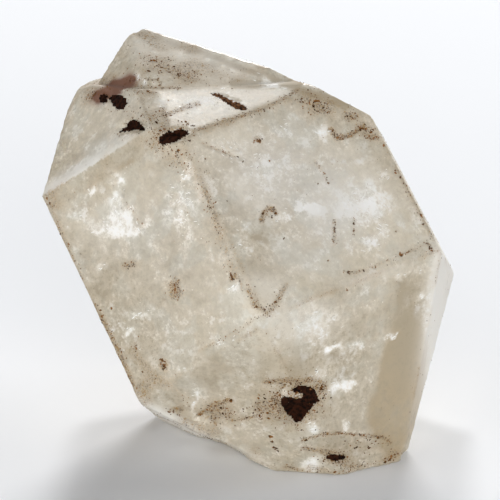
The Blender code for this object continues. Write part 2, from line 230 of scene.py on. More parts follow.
# Orange brown stain in lines: points, half width, strength
STAIN_LINES = (
    (((-4.27, 9.00), (-2.62, 9.45), (0.00, 10.28), (1.88, 11.03), (3.60, 12.00)), 0.18, 0.8),
    (((-6.80, 7.50), (-3.75, 5.40), (-2.86, 2.50), (-2.03, 0.46), (-1.07, -1.93), (-0.36, -3.00)),
     0.60, 0.50),
    (((-3.40, 4.60), (-2.60, 2.40), (-2.30, 1.20)), 0.22, 0.8),
    (((-0.10, -3.00), (0.24, -4.08), (1.32, -4.67), (1.79, -4.27), (2.74, -2.60)), 0.26, 0.8),
    (((1.55, -4.88), (0.46, -5.11), (-1.21, -6.30), (-3.75, -7.50)), 0.14, 0.45),
    (((6.05, 9.05), (6.55, 8.38), (7.56, 8.63), (8.10, 8.95), (8.55, 9.30)), 0.20, 1.3),
    (((6.30, 2.20), (6.30, 0.40)), 0.14, 0.9),
    (((7.80, 2.50), (7.80, 1.10)), 0.07, 0.7),
    (((-3.87, -12.40), (-2.98, -11.77), (-1.56, -11.24)), 0.16, 1.1),
    (((-2.98, -11.86), (-2.62, -13.10)), 0.16, 0.9),
    (((-2.10, -12.13), (-1.38, -12.84), (0.75, -12.40)), 0.14, 0.8),
    (((1.12, -9.90), (2.62, -9.82), (3.75, -9.90), (4.60, -9.70)), 0.20, 1.1),
    (((1.70, -11.90), (2.20, -10.60), (2.60, -9.90)), 0.30, 0.6),
    (((3.97, -14.25), (5.25, -13.88), (6.52, -13.72), (8.25, -13.88), (9.97, -14.03), (10.57, -14.47)),
     0.11, 1.1),
    (((3.97, -14.85), (5.62, -15.15), (7.12, -16.20), (8.25, -16.27), (9.75, -16.05)), 0.20, 0.8),
    (((2.70, -16.30), (4.20, -16.70), (6.40, -16.75), (8.60, -16.50)), 0.18, 0.9),
    (((7.00, -1.60), (7.90, -1.75), (9.30, -1.20), (11.10, -0.45), (13.00, 0.35), (13.90, 0.30)), 0.16, 0.45),
    (((13.30, 0.55), (13.72, -0.22)), 0.09, 1.0),
    (((-6.40, 10.10), (-3.90, 11.00)), 0.22, 0.9),
    (((-9.40, 12.50), (-8.50, 12.85), (-6.90, 12.75), (-6.50, 12.20), (-5.10, 12.15)), 0.10, 0.8),
    (((-6.90, 14.20), (-4.80, 13.20), (-4.05, 12.90)), 0.34, 0.5),
    (((4.90, 6.70), (5.40, 5.90), (5.90, 5.00)), 0.07, 0.7),
    (((-3.59, 8.05), (-0.95, 6.97)), 0.10, 0.6),
    (((0.90, 2.20), (1.00, 2.75), (1.35, 3.15), (1.75, 3.10), (1.95, 2.75)), 0.18, 1.4),
    (((-11.70, -4.20), (-10.90, -5.60), (-9.90, -7.60), (-8.80, -10.20)), 0.24, 0.9),
    (((-15.30, 4.00), (-14.20, 1.40), (-12.60, -2.20)), 0.22, 0.6),
    (((-9.50, 3.75), (-8.00, 1.80)), 0.12, 0.4),
    (((11.00, 6.20), (12.40, 3.60), (13.80, 0.80)), 0.22, 0.6),
    (((-6.60, 10.60), (-6.20, 9.60), (-7.20, 8.80)), 0.40, 0.6),
)
# Orange brown stain in patches, given as the clouds are
STAIN_PATCHES = (
    (-6.90, 14.00, 1.60, 0.70, -20.0, 0.6),
    (-5.00, 13.20, 1.40, 0.45, -10.0, 0.8),
    (-10.90, 15.00, 0.60, 1.00, -20.0, 0.4),
    (-11.90, 11.70, 0.90, 0.60, 30.0, 0.7),
    (-7.90, 12.10, 1.10, 0.35, 0.0, 0.6),
    (5.00, 10.90, 1.40, 0.70, -25.0, 0.95),
    (7.60, 10.00, 0.60, 0.35, -20.0, 0.9),
    (8.60, 9.00, 0.90, 0.40, -35.0, 0.7),
    (9.20, 8.40, 0.40, 0.20, 0.0, 0.9),
    (0.52, 8.20, 0.28, 0.22, 20.0, 1.3),
    (-5.60, -2.90, 0.55, 0.75, 20.0, 1.3),
    (-1.30, -2.10, 0.40, 0.25, -30.0, 1.3),
    (1.45, 2.70, 0.50, 0.40, -20.0, 0.5),
    (-8.90, -1.10, 0.50, 0.35, 0.0, 0.8),
    (-6.50, -8.55, 0.25, 0.50, 20.0, 1.2),
    (-8.60, -7.40, 0.30, 0.60, 0.0, 0.6),
    (-2.40, -12.20, 1.30, 0.80, 0.0, 0.75),
    (-5.60, -12.10, 0.60, 0.25, -10.0, 0.9),
    (1.90, -11.60, 1.10, 1.20, 0.0, 0.8),
    (3.70, -11.60, 1.90, 1.70, 20.0, 0.7),
    (5.20, -10.20, 0.70, 0.50, -30.0, 0.8),
    (0.60, -12.00, 0.50, 0.60, 0.0, 0.8),
    (6.40, -15.60, 1.20, 0.50, 0.0, 0.8),
    (8.60, -14.60, 1.60, 0.80, 0.0, 0.35),
    (10.50, -15.60, 0.90, 0.40, 25.0, 0.7),
    (-6.30, 8.60, 1.80, 0.90, 20.0, 0.6),
    (-7.60, 10.00, 1.20, 0.70, 10.0, 0.55),
    (-5.20, 7.20, 1.20, 0.80, -20.0, 0.45),
)
# A thin maroon film, given as the stain lines are
FILMS = (
    (((-11.10, 11.60), (-10.50, 12.00), (-9.80, 12.42), (-9.00, 12.72)), 0.42, 1.8),
    (((-11.30, 11.55), (-10.90, 11.70), (-10.20, 11.95)), 0.55, 1.8),
)
# Grooves in the front: points, half width, depth
GROOVES = (
    (((-10.75, 6.10), (-9.60, 4.20)), 0.14, 0.16),
    (((-3.59, 8.05), (-0.95, 6.97)), 0.10, 0.10),
    (((4.90, 6.70), (5.90, 5.00)), 0.07, 0.07),
    (((11.00, -2.45), (12.40, -2.85)), 0.10, 0.10),
)

# Edges worn so soft that they hardly show: points, how far the rounding reaches, slope of the faces beside it
SOFT_EDGES = (
    (((0.60, -3.90), (1.90, -7.50), (3.60, -10.20)), 1.10, 0.43),
    (((-8.40, 12.15), (0.80, 12.25), (3.60, 12.30)), 0.30, 0.10),
)
# Rims painted darker in the smoke colour, painted shade over their highlights from the light behind: points,
# half width, strength
SHADED_RIMS = (
    (((-9.00, 16.50), (-8.20, 16.30), (-3.00, 14.60), (3.20, 12.20), (7.20, 10.90)), 0.40, 1.5),
    (((-1.20, 12.50), (3.60, 12.50)), 0.35, 2.5),
)

# Dark crust in the pits: outlines on the sheet
CRUSTS = (
    ((-10.65, 11.45), (-10.30, 11.70), (-9.75, 11.65), (-9.22, 11.42), (-9.12, 10.95), (-9.40, 10.50),
     (-9.90, 10.48), (-10.30, 10.75)),
    ((-11.40, 11.57), (-11.03, 11.80), (-10.60, 11.60), (-10.62, 11.10), (-10.95, 10.90), (-11.30, 11.10)),
    ((-10.05, 8.72), (-9.32, 9.30), (-9.03, 9.75), (-8.55, 9.85), (-8.20, 9.52), (-7.80, 9.13), (-7.85, 8.90),
     (-8.61, 8.92), (-9.08, 8.80)),
    ((-6.95, 8.24), (-6.71, 8.60), (-6.09, 8.98), (-5.65, 9.03), (-4.94, 9.12), (-4.38, 8.72), (-4.90, 8.45),
     (-5.29, 8.18), (-5.91, 7.98), (-6.53, 7.78), (-6.78, 7.92)),
    ((3.15, -10.42), (3.62, -10.10), (4.36, -10.18), (4.85, -10.38), (5.12, -10.96), (5.30, -11.34),
     (4.78, -11.55), (4.68, -11.88), (4.22, -12.45), (3.86, -12.90), (3.36, -13.00), (3.15, -12.68),
     (2.68, -12.25), (2.34, -11.70), (2.25, -11.02), (2.85, -10.90), (3.38, -11.10), (3.83, -11.02),
     (4.00, -10.87), (3.65, -10.74), (3.28, -10.74)),
    ((5.65, -15.42), (5.97, -15.28), (6.45, -15.33), (6.80, -15.24), (7.22, -15.40), (7.18, -15.68),
     (6.68, -15.80), (6.33, -15.88), (5.91, -15.80), (5.72, -15.65)),
)
# The slit's brown fill
SLIT_FILL = (
    ((-3.15, 11.68), (-2.55, 11.84), (-2.03, 11.66), (-1.43, 11.34), (-0.83, 11.04), (-0.38, 10.88),
     (-0.12, 10.72), (-0.28, 10.40), (-0.90, 10.46), (-1.50, 10.80), (-2.10, 11.18), (-2.60, 11.46)),
)
# The crusts: their cells, how far their roots reach in, how far their outlines wander in wide and in close
# waves, how thick a rim is for a middle of 1, their thickness, and the step between their noises
CRUST_CELL = 0.07
CRUST_ROOT = 0.20
CRUST_WANDER = 0.06
CRUST_RAGGEDNESS = 0.12
CRUST_RIM = 0.25
SLIT_CRUST_THICKNESS = 0.06
PIT_CRUST_THICKNESS = 0.09
CRUST_SEED_STEP = 7.0
# Loose grains lie above this height
LOWEST = 0.15
# How many grains lie on a millimetre of a line, on a square millimetre of a patch's half sizes, at a corner
# of a crust and in a dot, and how many places of the skin are tried, once on edges and once all over
GRAINS_PER_MM = 13.0
GRAINS_PER_PATCH_AREA = 60.0
GRAINS_PER_CORNER = 6
GRAINS_PER_DOT = 3
SKIN_GRAINS = 1500
# Smallest and largest grains in lines, in patches, beside crusts, on edges and all over
LINE_GRAINS = (0.025, 0.065)
PATCH_GRAINS = (0.03, 0.08)
CRUST_GRAINS = (0.02, 0.06)
EDGE_GRAINS = (0.02, 0.05)
OTHER_GRAINS = (0.018, 0.04)
# The white cracks: how many a cloud has for its half sizes, the height they lie above, the share of them
# that reaches the surface, how deep the others lie, their sizes, and their turn in a round cloud
FLAKES_PER_CLOUD_AREA = 70.0
LOWEST_FLAKE = 2.0
FLAKES_ON_TOP = 0.3
FLAKE_DEPTHS = (0.1, 1.6)
FLAKE_SIZES = (0.03, 0.11)
ROUND_CLOUD_LIE = 30.0
# About a full turn, in radians
ALL_ROUND = 6.3
# How many small pieces are made in one mesh before they join the rest, which keeps it quick
PIECES_AT_ONCE = 100
# Dark dots: place and half width
DARK_DOTS = (
    (-7.06, 7.35, 0.07), (-6.80, 7.62, 0.06), (-5.10, 7.17, 0.08), (-4.50, 8.17, 0.08), (-4.75, 9.38, 0.09),
    (-0.90, 6.95, 0.09), (-0.50, 6.62, 0.09), (5.85, 5.05, 0.10), (5.10, 5.00, 0.08), (13.00, 1.95, 0.10),
    (10.95, 1.40, 0.08), (11.25, -0.40, 0.14), (11.90, -0.13, 0.09), (7.40, -1.70, 0.11),
    (-10.40, -4.35, 0.13), (-6.62, -8.25, 0.13), (-6.40, -8.60, 0.12), (-6.50, -8.90, 0.12),
    (-6.00, -12.13, 0.10), (-1.50, -11.30, 0.20), (-13.00, -1.90, 0.08), (-12.50, -2.50, 0.08),
    (-5.20, 9.10, 0.08), (1.52, -13.96, 0.22), (1.60, -14.34, 0.13), (1.76, -14.77, 0.12),
    (1.93, -14.92, 0.12), (2.10, -15.07, 0.12), (-11.20, -4.55, 0.12), (-11.10, -4.95, 0.12),
    (-10.76, -6.11, 0.12), (-8.07, -9.22, 0.08), (-12.67, -2.52, 0.08), (0.78, 8.17, 0.14),
    (1.44, 6.68, 0.10), (9.45, 8.47, 0.09), (10.00, 7.80, 0.11), (7.43, -1.60, 0.11), (5.88, -0.76, 0.08),
    (7.26, -3.03, 0.10), (2.54, 0.91, 0.10), (-4.65, 9.45, 0.09), (-4.35, 9.30, 0.08), (-6.30, 10.15, 0.09),
    (-6.50, 10.08, 0.08), (8.20, 9.05, 0.16), (8.45, 9.15, 0.14), (6.60, 8.45, 0.12), (11.30, -0.36, 0.11),
    (13.45, 0.20, 0.10), (13.60, -0.05, 0.09),
)

# The lights, in metres and watts: name, place, width, power
LIGHTS = (
    ("upper_window", (-0.045, 0.367, 0.545), 0.10, 1.15),
    ("rear_window", (0.12, 0.94, 0.38), 0.26, 9.2),
    ("fill", (0.06, -0.60, 0.15), 0.4, 2.4),
    ("left_window", (-0.55, -0.30, 0.12), 0.6, 2.0),
    ("right_window", (0.60, 0.20, 0.14), 0.5, 2.2),
)
# The light of the room around it, and the pale floor, whose half width is in metres
ROOM_COLOUR = (0.93, 0.96, 1.0, 1.0)
ROOM_LIGHT = 0.155
FLOOR_COLOUR = (0.84, 0.85, 0.87, 1.0)
FLOOR_HALF = 3.0


def linear(red, green, blue):
    """A colour as a screen shows it, 0 to 255, turned to the renderer's scale."""
    return tuple(
        (c / 255.0 / 12.92) if c < 11 else ((c / 255.0 + 0.055) / 1.055) ** 2.4 for c in (red, green, blue)
    ) + (1.0,)


BEIGE = linear(238, 229, 211)
COOL = linear(231, 232, 222)
TAN = linear(174, 154, 120)
WHITE = linear(252, 252, 250)
# The colour of smoke, and of the painted shade
SMOKE_AND_SHADE = linear(166, 153, 130)
ORANGE = linear(150, 120, 74)
DARK_BROWN = linear(66, 38, 22)
MAROON = linear(106, 62, 38)
# Quartz: how much it bends light, its colour where it is clear, the colour of light that shines through its
# milk, and the colour and density of its inside, which absorbs light
QUARTZ_IOR = 1.544
CLEAR_QUARTZ = (0.98, 0.965, 0.93, 1.0)
SHINE_THROUGH = (0.87, 0.83, 0.74, 1.0)
INSIDE_COLOUR = (0.86, 0.80, 0.67, 1.0)
INSIDE_DENSITY = 26.0


class Value:
    """A shader socket that arithmetic works on: each operator adds a Math node to its recipe."""

    def __init__(self, recipe, socket):
        self.recipe = recipe
        self.socket = socket

    def math(self, operation, *terms, clamp=False):
        return self.recipe.add("Math", {"operation": operation, "use_clamp": clamp}, dict(enumerate(terms)))

    def __add__(self, other):
        return self.math("ADD", self, other)

    def __radd__(self, other):
        return self.math("ADD", other, self)

    def __sub__(self, other):
        return self.math("SUBTRACT", self, other)

    def __rsub__(self, other):
        return self.math("SUBTRACT", other, self)

    def __mul__(self, other):
        return self.math("MULTIPLY", self, other)

    def __rmul__(self, other):
        return self.math("MULTIPLY", other, self)

    def clamped(self):
        """The value, kept between 0 and 1."""
        return self.math("ADD", self, 0.0, clamp=True)

    def above(self, start, end):
        """0 below start and 1 above end, with a smooth step between them."""
        sockets = {"Value": self, "From Min": start, "From Max": end}
        return self.recipe.add("MapRange", {"interpolation_type": "SMOOTHSTEP"}, sockets)


class Recipe:
    """A material's shader nodes."""

    def __init__(self, name):
        self.material = bpy.data.materials.new(name)
        self.material.use_nodes = True
        self.tree = self.material.node_tree
        self.tree.nodes.clear()

    def add(self, kind, settings=None, sockets=None, output=0):
        """Adds a node of this kind, makes its settings, feeds its sockets and gives one of its outputs."""
        node = self.tree.nodes.new("ShaderNode" + kind)
        for name, value in (settings or {}).items():
            setattr(node, name, value)
        for name, value in (sockets or {}).items():
            self.feed(node, name, value)
        return Value(self, node.outputs[output]) if node.outputs else None

    def feed(self, node, name, value):
        """Sets or links one input, found by its number, its identifier or its name."""
        if isinstance(name, int):
            socket = node.inputs[name]
        else:
            socket = next(s for s in node.inputs if name in (s.identifier, s.name))
        if isinstance(value, Value):
            self.tree.links.new(value.socket, socket)
        else:
            socket.default_value = value

    def millimetres(self):
        """The place on the object, in millimetres."""
        place = self.add("TexCoord", output=3)
        return self.add("VectorMath", {"operation": "SCALE"}, {"Vector": place, "Scale": 1.0 / MM})

    def attribute(self, name):
        return self.add("Attribute", {"attribute_name": name}, output=2)

    def noise(self, place, scale, detail, roughness, distortion=0.0):
        sockets = {"Vector": place, "Scale": scale, "Detail": detail, "Roughness": roughness}
        return self.add("TexNoise", {}, dict(sockets, Distortion=distortion))

    def cells(self, place, scale):
        """Distance to the nearest of many scattered points."""
        return self.add("TexVoronoi", {}, {"Vector": place, "Scale": scale})

    def mixed(self, share, first, second):
        sockets = {"Factor_Float": share, "A_Color": first, "B_Color": second}
        return self.add("Mix", {"data_type": "RGBA"}, sockets, output=2)

    def bump(self, height, distance, strength):
        return self.add("Bump", {}, {"Height": height, "Distance": distance, "Strength": strength})

    def finish(self, surface, volume=None):
        """The material, with its surface and its inside led to its output."""
        sockets = {"Surface": surface}
        if volume:
            sockets["Volume"] = volume
        self.add("OutputMaterial", {}, sockets)
        return self.material


class QuartzMarks:
    """What is painted on the stone, and the noises that break it up, which are scaled in millimetres."""

    def __init__(self, r):
        place = r.millimetres()
        self.cloud = r.attribute("cloud")
        self.clear = r.attribute("clear")
        self.painted_light = r.attribute("painted_light")
        self.window = r.attribute("window")
        self.film = r.attribute("film")
        self.smoke_and_shade = r.attribute("smoke_and_shade")
        self.stain = r.attribute("stain")
        self.calm = r.attribute("calm")
        self.broad = r.noise(place, 0.28, 3.0, 0.55)
        self.wisps = r.noise(place, 0.95, 6.0, 0.68, 0.15)
        self.fine = r.noise(place, 3.0, 5.0, 0.70)
        self.grain = r.noise(place, 8.0, 3.0, 0.65)
        self.cool = r.noise(place, 0.45, 3.0, 0.5).above(0.48, 0.58)
        self.flecks = (0.13 - r.cells(place, 1.7)).above(0.0, 0.05) * self.wisps.above(0.50, 0.56)
        self.sparks = (0.11 - r.cells(place, 3.6)).above(0.0, 0.05) * self.fine.above(0.50, 0.56)
        self.pepper = (0.11 - r.cells(place, 2.3)).above(0.0, 0.04)


def whiteness_of(m):
    """How much the clouds, the painted light, the veil and the flecks whiten a place."""
    broken = m.wisps * 0.45 + m.fine * 0.35 + m.grain * 0.20 + m.cloud * 0.22
    clouds = m.cloud * broken.above(0.52, 0.74)
    painted_light_white = m.painted_light * (0.55 + m.fine * 0.5) * 0.75
    veil = (m.wisps * 0.55 + m.fine * 0.45).above(0.50, 0.64) * 0.52 * m.broad.above(0.30, 0.60)
    flecks = (m.flecks + m.sparks * 0.6) * (1.0 - m.calm) * 0.5
    return (clouds + painted_light_white + veil * (1.0 - m.calm) + flecks).clamped()


def dimness_of(m):
    """How much the smoky zones, which are partly painted shade, and the hollows of the noises darken a place.
    """
    hollows = (1.0 - m.broad).above(0.50, 0.72) * 0.25 + (1.0 - m.fine).above(0.53, 0.64) * 0.30
    return m.smoke_and_shade * (0.35 + m.wisps) + hollows + (1.0 - m.wisps).above(0.50, 0.62) * 0.22


def stain_of(m):
    """How much of a place the stain covers, in freckles and specks."""
    freckles = (m.grain * 0.5 + m.fine * 0.5).above(0.52, 0.60)
    specks = m.pepper * (m.stain + 0.10).above(0.08, 0.30) * 0.8
    return (m.stain * (0.50 + freckles * 1.2) + specks).clamped()


def milk_colour(r, m, whiteness, dimness, stained):
    """The milk's colour: beige or cool or tan, then smoke and painted shade, white with painted light, stain,
    the maroon film and soil over it.
    """
    colour = r.mixed(m.clear * 0.95, r.mixed(m.cool * 0.7, BEIGE, COOL), TAN)
    # Smoke and painted shade, held back under the clouds and the painted light
    colour = r.mixed((dimness * (1.0 - m.cloud * 0.8) * (1.0 - m.painted_light * 0.8)).clamped(), colour, SMOKE_AND_SHADE)
    # White of the clouds, the veil and the flecks, with the painted light
    colour = r.mixed(whiteness, colour, WHITE)
    colour = r.mixed(stained, colour, ORANGE)
    colour = r.mixed((m.film * (0.5 + m.fine)).clamped() * 0.94, colour, MAROON)
    soil = m.stain.above(0.30, 0.70) * (1.0 - m.grain).above(0.52, 0.60)
    soil = soil + m.pepper * m.stain.above(0.25, 0.55)
    return r.mixed(soil.clamped() * 0.85, colour, DARK_BROWN)


def clouded_quartz():
    """Milky quartz over clear quartz: how milky it is changes from place to place."""
    r = Recipe("clouded_quartz")
    m = QuartzMarks(r)
    whiteness = whiteness_of(m)
    dimness = dimness_of(m)
    stained = stain_of(m)
    normal = r.bump(m.fine * 0.6 + m.grain * 0.4, 0.00004, 0.30)
    milky = r.add("BsdfPrincipled", {}, {
        "Base Color": milk_colour(r, m, whiteness, dimness, stained),
        "Roughness": (0.42 + m.fine * 0.20 + m.smoke_and_shade * 0.30).clamped(),
        "IOR": QUARTZ_IOR,
        "Normal": normal,
    })
    through = r.add("BsdfTranslucent", {}, {"Color": SHINE_THROUGH, "Normal": normal})
    shining = 0.34 - m.cloud * 0.18 - dimness * 0.15 - stained * 0.25 - m.film * 0.35 - m.clear * 0.10
    shining = (shining + m.painted_light * 0.10).clamped()
    body = r.add("MixShader", {}, {0: shining, 1: milky, 2: through})
    glass = r.add("BsdfPrincipled", {}, {
        "Base Color": r.mixed(stained, CLEAR_QUARTZ, ORANGE),
        "Roughness": 0.26,
        "IOR": QUARTZ_IOR,
        "Transmission Weight": 1.0,
        "Normal": normal,
    })
    milk = 0.46 + (m.wisps - 0.5) * 0.8 + whiteness * 0.60 + m.clear * 0.25 + stained * 0.6 + m.film * 0.5
    milk = (milk + m.smoke_and_shade * 0.5 - m.window * 0.5).clamped()
    surface = r.add("MixShader", {}, {0: milk, 1: glass, 2: body})
    inside_of_it = r.add("VolumeAbsorption", {}, {"Color": INSIDE_COLOUR, "Density": INSIDE_DENSITY})
    return r.finish(surface, inside_of_it)


def plain_material(name, colour, second, roughness, scale, gloss):
    """A mottled, solid material of two colours."""
    r = Recipe(name)
    place = r.millimetres()
    mottle = r.noise(place, scale, 3.0, 0.6).above(0.35, 0.65)
    surface = r.add("BsdfPrincipled", {}, {
        "Base Color": r.mixed(mottle, colour, second),
        "Roughness": roughness,
        "Normal": r.bump(r.noise(place, scale * 2.0, 3.0, 0.6), 0.00008, 0.6),
        "Specular IOR Level": gloss,
    })
    return r.finish(surface)


def add_piece(name, mesh, material, smooth=False):
    """A finished piece from a bmesh in millimetres: its place is in its mesh, and it rides on the crystal."""
    bmesh.ops.scale(mesh, vec=(MM, MM, MM), verts=mesh.verts)
    data = bpy.data.meshes.new(name)
    mesh.to_mesh(data)
    mesh.free()
    data.materials.append(material)
    if smooth:
        data.shade_smooth()
    piece = bpy.data.objects.new(name, data)
    bpy.context.scene.collection.objects.link(piece)
    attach(piece, "root")
    return piece


def welded_solid():
    """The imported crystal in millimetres, its loose triangles joined."""
    solid = bmesh.new()
    solid.from_mesh(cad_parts["crystal"].data)
    bmesh.ops.remove_doubles(solid, verts=solid.verts, dist=WELD)
    bmesh.ops.scale(solid, vec=(1.0 / MM,) * 3, verts=solid.verts)
    return solid


def great_faces(solid):
    """(normals, distances) of the crystal's large flat faces."""
    flat = solid.copy()
    bmesh.ops.dissolve_limit(flat, angle_limit=FLATNESS, verts=flat.verts, edges=flat.edges)
    found = []
    for face in sorted(flat.faces, key=lambda f: -f.calc_area()):
        if face.calc_area() < LEAST_FACE:
            break
        normal = face.normal.copy()
        distance = normal.dot(face.verts[0].co)
        if all(n.dot(normal) < SAME_TURN or abs(d - distance) > SAME_PLANE for n, d in found):
            found.append((normal, distance))
    flat.free()
    return np.array([n for n, _ in found]), np.array([d for _, d in found])


def fine_skin(solid, hull):
    """The solid with an even skin of fine cells that lies on its faces."""
    data = bpy.data.meshes.new("skin")
    solid.to_mesh(data)
    holder = bpy.data.objects.new("skin", data)
    bpy.context.scene.collection.objects.link(holder)
    remesh = holder.modifiers.new("cells", "REMESH")
    remesh.mode = "VOXEL"
    remesh.voxel_size = CELL
    graph = bpy.context.evaluated_depsgraph_get()
    made = bpy.data.meshes.new_from_object(holder.evaluated_get(graph))
    skin = bmesh.new()
    skin.from_mesh(made)
    bpy.data.objects.remove(holder)
    bpy.data.meshes.remove(data)
    bpy.data.meshes.remove(made)
    for vertex in skin.verts:
        vertex.co = hull.find_nearest(vertex.co)[0]
    return skin


def edge_distance(places, faces):
    """How far each place is from the nearest edge between two large faces, in millimetres."""
    normals, distances = faces
    depth = places @ normals.T - distances
    own = depth.argmax(axis=1)
    cosine = (normals @ normals.T)[own]
    sine = np.sqrt(np.clip(1.0 - cosine ** 2, 1e-6, 1.0))
    reach = np.where(cosine < math.cos(LEAST_EDGE), np.abs(depth) / sine, FAR_OFF)
    return reach.min(axis=1)


def rough(places, scale, seed):
    """Smooth noise, about -0.7 to 0.7, with lumps of about this many millimetres."""
    offset = Vector((seed * 17.3, seed * 5.1, -seed * 9.7))
    return np.array([noise.noise(Vector(p) / scale + offset) for p in places])


def smooth_step(values, start, end):
    """0 below start and 1 above end, with a smooth step between them."""
    t = np.clip((values - start) / (end - start), 0.0, 1.0)
    return t * t * (3.0 - 2.0 * t)


def on_sheet(places):
    """(across, up) on the sheet for each place, as the front view sees it."""
    offset = places - np.array(EYE)
    reach = VIEW_DISTANCE / (offset @ np.array(SIGHT))
    return offset @ np.array(ACROSS) * reach, offset @ np.array(RISE) * reach


def spots(across, up, rows):
    """How strongly these patches cover each place."""
    total = np.zeros(len(across))
    for x, y, length, height, turn, strength in rows:
        c, s = math.cos(math.radians(turn)), math.sin(math.radians(turn))
        u = ((across - x) * c + (up - y) * s) / length
        v = ((up - y) * c - (across - x) * s) / height
        total = np.maximum(total, strength * np.exp(-((u * u + v * v) ** SPOT_EDGE) * SPOT_FALL))
    return total


def away_from(across, up, points):
    """How far each place is from a line through these points."""
    nearest = np.full(len(across), FAR_OFF)
    for (x0, y0), (x1, y1) in zip(points, points[1:]):
        dx, dy = x1 - x0, y1 - y0
        t = np.clip(((across - x0) * dx + (up - y0) * dy) / (dx * dx + dy * dy), 0.0, 1.0)
        nearest = np.minimum(nearest, np.hypot(across - x0 - t * dx, up - y0 - t * dy))
    return nearest


def strokes(across, up, rows):
    """How strongly these lines cover each place."""
    total = np.zeros(len(across))
    for points, width, strength in rows:
        away = away_from(across, up, points)
        total = np.maximum(total, strength * np.exp(-(away / width) ** 2))
    return total


def fillets(across, up, rows):
    """How deep each place sinks where these edges are rounded, and how near it is to them, 0 to 1."""
    depth, nearness = np.zeros(len(across)), np.zeros(len(across))
    for points, reach, slope in rows:
        close = np.clip(1.0 - away_from(across, up, points) / reach, 0.0, 1.0)
        depth = np.maximum(depth, 0.5 * slope * reach * close ** 2)
        nearness = np.maximum(nearness, close)
    return depth, nearness


def seen_at(tree, across, up):
    """(point, normal) of the stone's surface where the front view sees this place of the sheet."""
    target = MIDDLE + ACROSS * across + RISE * up
    direction = (target - EYE).normalized()
    point, normal, _, _ = tree.ray_cast(EYE, direction)
    return point, normal


def unhidden(hull, places):
    """1 where nothing of the stone stands between a place of its surface and the front view, 0 elsewhere."""
    seen = np.zeros(len(places))
    for index, place in enumerate(places):
        outward = (EYE - Vector(place)).normalized()
        blocked, _, _, _ = hull.ray_cast(Vector(place) + outward * CLEAR_OF_SURFACE, outward)
        seen[index] = 0.0 if blocked else 1.0
    return seen


class Surface:
    """The stone's skin before its relief: its places with their normals, how they are seen, and noises."""

    def __init__(self, skin, faces, hull):
        skin.normal_update()
        self.places = np.array([v.co for v in skin.verts])
        self.normals = np.array([v.normal for v in skin.verts])
        self.edge = edge_distance(self.places, faces)
        self.across, self.up = on_sheet(self.places)
        self.toward = -(self.normals @ np.array(SIGHT))
        self.front = smooth_step(self.toward, 0.0, FULLY_FRONT) * unhidden(hull, self.places)
        self.calm = spots(self.across, self.up, CALM_ZONES)
        self.lumps = rough(self.places, 2.6, 1)
        self.small = rough(self.places, 0.7, 2)
        self.tiny = rough(self.places, 0.35, 3)
        self.ragged = rough(self.places, 1.1, 4)

    def near(self, sideways, upward):
        """(across, up) of each place, moved by these lengths."""
        return self.across + sideways, self.up + upward


def relief(surface):
    """How deep each place of the skin sinks."""
    rounding, softness = fillets(surface.across, surface.up, SOFT_EDGES)
    lumps = LUMP_DEPTH * (0.6 + surface.lumps) + SMALL_LUMP_DEPTH * (0.6 + surface.small)
    worn = np.exp(-(surface.edge / WORN_REACH) ** 2) * (1.0 - softness)
    chips = WORN_DEPTH * (0.4 + surface.small) + CHIP_DEPTH * (0.4 + surface.tiny)
    sink = lumps * (1.0 - CALMING * surface.calm) + worn * chips
    return np.maximum(sink, 0.0) + surface.front * (strokes(surface.across, surface.up, GROOVES) + rounding)


def painted_light_on(surface, tree):
    """Painted light: soft brightness of the front, with that of the upper left face, which stays on its own
    face.
    """
    _, own = seen_at(tree, *UPPER_LEFT_FACE)
    on_face = smooth_step(surface.normals @ np.array(own), 0.90, 0.97)
    face_painted_light = on_face * spots(surface.across, surface.up, PAINTED_LIGHT_ON_FACE)
    painted_light = np.maximum(spots(surface.across, surface.up, PAINTED_LIGHT_PATCHES), face_painted_light)
    return smooth_step(surface.toward, -0.02, 0.05) * painted_light


def smoke_and_shade_on(surface):
    """Smoky zones of the front, partly painted shade, with darkening near all edges and the rims painted dull
    as shade.
    """
    zones = surface.front * spots(*surface.near(0.6 * surface.ragged, 0.6 * surface.lumps), SMOKE_AND_SHADE_ZONES)
    # Darker near every edge
    edges = np.exp(-surface.edge / EDGE_DARKENING_REACH) * 0.75
    return np.maximum(np.maximum(zones, edges), strokes(surface.across, surface.up, SHADED_RIMS))


def stain_on(surface):
    """Brown stain in the front's patches and lines, in patches behind and along all edges."""
    patches = spots(*surface.near(0.4 * surface.small, 0.4 * surface.ragged), STAIN_PATCHES)
    drawn = surface.front * np.maximum(patches, strokes(surface.across, surface.up, STAIN_LINES))
    broken = smooth_step(rough(surface.places, 1.9, 5), -0.25, 0.35)
    along_edges = np.exp(-(surface.edge / STAINED_REACH) ** 1.5) * broken
    behind = (1.0 - surface.front) * smooth_step(rough(surface.places, 3.2, 6), 0.22, 0.5) * 0.6
    off_bottom = smooth_step(surface.places[:, 2], 0.02, 0.5)
    return np.maximum(drawn, np.maximum(along_edges * 0.55, behind)) * off_bottom


def markings(surface, tree):
    """How strongly each mark is painted on each place of the skin."""
    across, up, front = surface.across, surface.up, surface.front
    clouds = front * spots(*surface.near(0.5 * surface.ragged, 0.5 * surface.small), CLOUDS)
    clouds_behind = (1.0 - front) * smooth_step(rough(surface.places, 2.4, 7), 0.05, 0.6) * 0.6
    clear = front * smooth_step(spots(across + 0.15 * surface.small, up, CLEAR_ZONES), 0.25, 0.62)
    return {
        "cloud": np.maximum(clouds, clouds_behind),
        "clear": clear,
        "painted_light": painted_light_on(surface, tree),
        "window": spots(across, up, WINDOWS) - strokes(across, up, VEILED),
        "calm": np.maximum(clear, surface.calm),
        "film": front * strokes(*surface.near(0.25 * surface.small, 0.25 * surface.ragged), FILMS),
        "smoke_and_shade": smoke_and_shade_on(surface),
        "stain": stain_on(surface),
    }


def paint(skin_data, name, values):
    attribute = skin_data.attributes.new(name, "FLOAT", "POINT")
    attribute.data.foreach_set("value", values.astype(np.float32))


